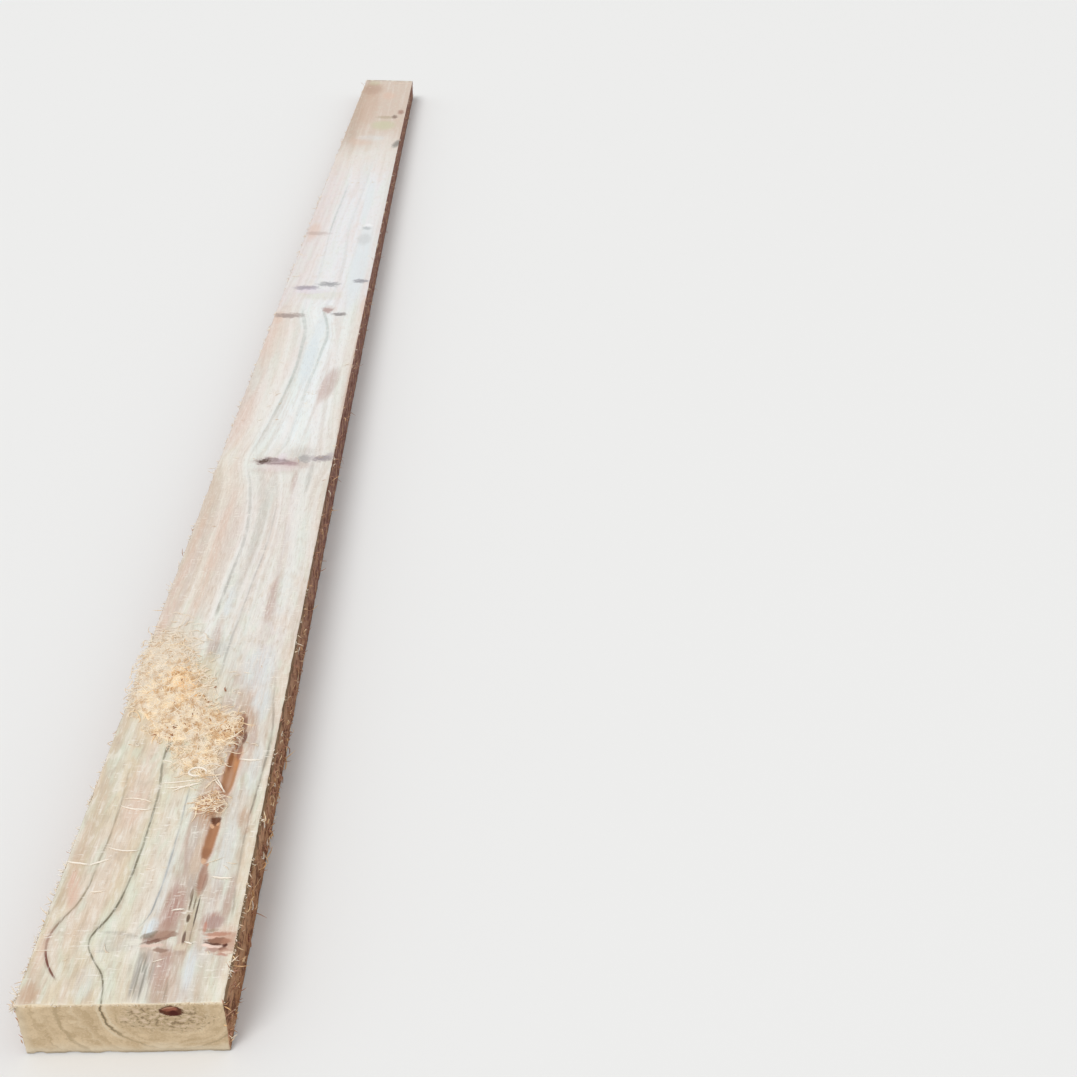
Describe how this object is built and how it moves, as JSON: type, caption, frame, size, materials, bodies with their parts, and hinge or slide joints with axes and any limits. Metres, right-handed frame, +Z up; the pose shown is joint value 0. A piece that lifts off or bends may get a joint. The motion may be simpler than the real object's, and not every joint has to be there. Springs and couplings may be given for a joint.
{
  "type": "timber lumber plank",
  "caption": "Long rough-sawn softwood plank with eased arrises, an open heart streak along its top face and hollows where knots tore out.",
  "frame": {"origin": "under the middle of the plank, on the surface it lies on", "axes": "+Y along the plank from the near end to the far end, +X to the right across it, +Z up"},
  "size_m": [0.1536, 3.6, 0.055],
  "materials": {
    "sawn_softwood": "rough sawn, dry to the touch"
  },
  "bodies": {
    "root": {"plank": "sawn_softwood"}
  },
  "joints": []
}
